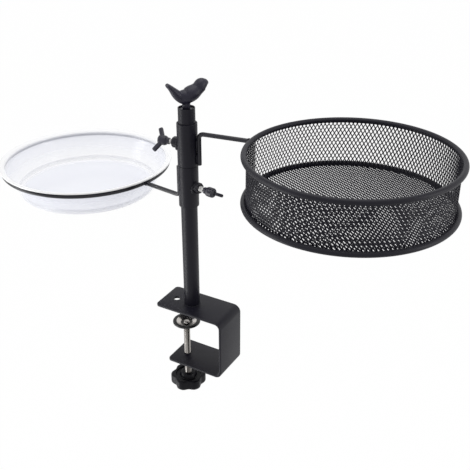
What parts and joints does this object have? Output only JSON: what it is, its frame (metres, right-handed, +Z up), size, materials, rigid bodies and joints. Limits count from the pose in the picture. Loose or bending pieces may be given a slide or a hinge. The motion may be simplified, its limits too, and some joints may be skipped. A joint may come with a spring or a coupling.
{
  "type": "railing bird bath",
  "caption": "Railing bird bath: a screw clamp holds a pole with a bird finial, and collars on the pole swing a round mesh seed basket and a clear water bowl on rod arms.",
  "frame": {"origin": "on the pole's axis, at the underside of the clamp's top plate, where it sits on the rail", "axes": "+Z up the pole, +X along the clamp strip from the pole to its back plate"},
  "size_m": [0.5736, 0.2269, 0.4012],
  "materials": {
    "black_coat": "satin powder coat",
    "black_plastic": "matt moulded",
    "zinc": "bright zinc plate",
    "nickel": "bright nickel plate",
    "clear_plastic": "clear gloss"
  },
  "bodies": {
    "clamp_and_pole": {"clamp_bracket": "black_coat", "clamp_weld_nut": "black_coat", "pole_tube": "black_coat", "pole_end_cap": "black_plastic", "finial_stud": "zinc", "bird_finial": "black_coat"},
    "pressure_pad": {"clamp_pad": "nickel"},
    "screw_and_knob": {"clamp_screw": "nickel", "star_knob": "black_plastic"},
    "basket_carrier": {"upper_collar": "black_coat", "upper_weld_nut": "black_coat", "basket_arm": "black_coat", "basket_top_rim": "black_coat", "basket_wall_mesh": "black_coat", "basket_bottom_rim": "black_coat", "basket_floor_mesh": "black_coat"},
    "upper_screw": {"upper_wing_shank": "zinc"},
    "upper_grip": {"upper_wing_grip": "black_plastic"},
    "bowl_carrier": {"lower_collar": "black_coat", "lower_weld_nut": "black_coat", "bowl_arm": "black_coat", "bowl_ring": "black_coat"},
    "bowl": {"water_bowl": "clear_plastic"},
    "lower_screw": {"lower_wing_shank": "zinc"},
    "lower_grip": {"lower_wing_grip": "black_plastic"}
  },
  "joints": [
    {"name": "basket_swivel", "type": "hinge", "parent": "clamp_and_pole", "child": "basket_carrier", "pos_m": [0, 0, 0.2098], "axis": [0, 0, 1], "continuous": true},
    {"name": "bowl_swivel", "type": "hinge", "parent": "clamp_and_pole", "child": "bowl_carrier", "pos_m": [0, 0, 0.1605], "axis": [0, 0, 1], "continuous": true},
    {"name": "bowl_lift", "type": "slide", "parent": "bowl_carrier", "child": "bowl", "axis": [0, 0, 1], "range_m": [0, 0.06]},
    {"name": "jaw_slide", "type": "slide", "parent": "clamp_and_pole", "child": "pressure_pad", "axis": [0, 0, 1], "range_m": [-0.04, 0.02]},
    {"name": "screw_turn", "type": "hinge", "parent": "pressure_pad", "child": "screw_and_knob", "pos_m": [-0.009, 0, -0.1], "axis": [0, 0, 1], "range_deg": [-11500, 5750]},
    {"name": "upper_wing_slide", "type": "slide", "parent": "basket_carrier", "child": "upper_screw", "axis": [-0.994, -0.1097, 0], "range_m": [0, 0.006]},
    {"name": "upper_wing_turn", "type": "hinge", "parent": "upper_screw", "child": "upper_grip", "pos_m": [-0.03032, -0.00335, 0.2098], "axis": [-0.994, -0.1097, 0], "range_deg": [0, 2165]},
    {"name": "lower_wing_slide", "type": "slide", "parent": "bowl_carrier", "child": "lower_screw", "axis": [0.9874, -0.1582, 0], "range_m": [0, 0.006]},
    {"name": "lower_wing_turn", "type": "hinge", "parent": "lower_screw", "child": "lower_grip", "pos_m": [0.03209, -0.00514, 0.1605], "axis": [0.9874, -0.1582, 0], "range_deg": [0, 2165]}
  ],
  "couplings": [
    {"joint": "jaw_slide", "follows": "screw_turn", "m_per_rad": 0.00019894},
    {"joint": "upper_wing_turn", "follows": "upper_wing_slide", "rad_per_m": 6283.2},
    {"joint": "lower_wing_turn", "follows": "lower_wing_slide", "rad_per_m": 6283.2}
  ]
}
